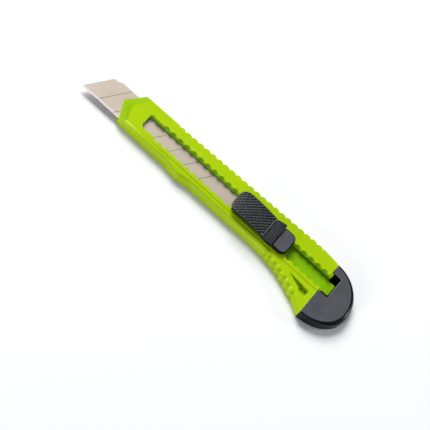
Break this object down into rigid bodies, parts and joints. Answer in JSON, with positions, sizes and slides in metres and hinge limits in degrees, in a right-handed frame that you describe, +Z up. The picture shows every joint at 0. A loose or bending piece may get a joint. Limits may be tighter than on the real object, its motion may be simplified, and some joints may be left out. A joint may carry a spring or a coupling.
{
  "type": "snap-off utility knife",
  "caption": "Snap-off blade knife with a plastic handle, toothed blade slot, sliding lock button and a pull-off end cap.",
  "frame": {"origin": "bottom centre of the whole knife's box, on the surface that it lies on", "axes": "+X along the knife from the blade's tip to the end cap, +Y from the cutting edge to the spine, +Z up out of the face with the slider"},
  "size_m": [0.1727, 0.0392, 0.0092],
  "materials": {
    "lime_plastic": "satin moulded ABS",
    "black_plastic": "fine-grained moulded polypropylene",
    "blade_steel": "ground carbon steel, bright edge",
    "spring_steel": "bright spring steel strip"
  },
  "bodies": {
    "handle": {"handle_body": "lime_plastic"},
    "cap": {"end_cap": "black_plastic"},
    "slider": {"blade": "blade_steel", "blade_carrier": "black_plastic", "slider_cover": "black_plastic", "lock_spring": "spring_steel"},
    "button": {"thumb_button": "black_plastic"}
  },
  "joints": [
    {"name": "slider_travel", "type": "slide", "parent": "handle", "child": "slider", "axis": [1, 0, 0], "range_m": [-0.054, 0.027], "deforming": ["lock_spring"]},
    {"name": "button_press", "type": "hinge", "parent": "slider", "child": "button", "pos_m": [0.0271, 0.00455, 0.00685], "axis": [0, -1, 0], "range_deg": [0, 2.6], "stiffness_Nm_per_rad": 0.2, "deforming": ["lock_spring"]},
    {"name": "cap_pull", "type": "slide", "parent": "handle", "child": "cap", "axis": [1, 0, 0], "range_m": [0, 0.022]}
  ]
}
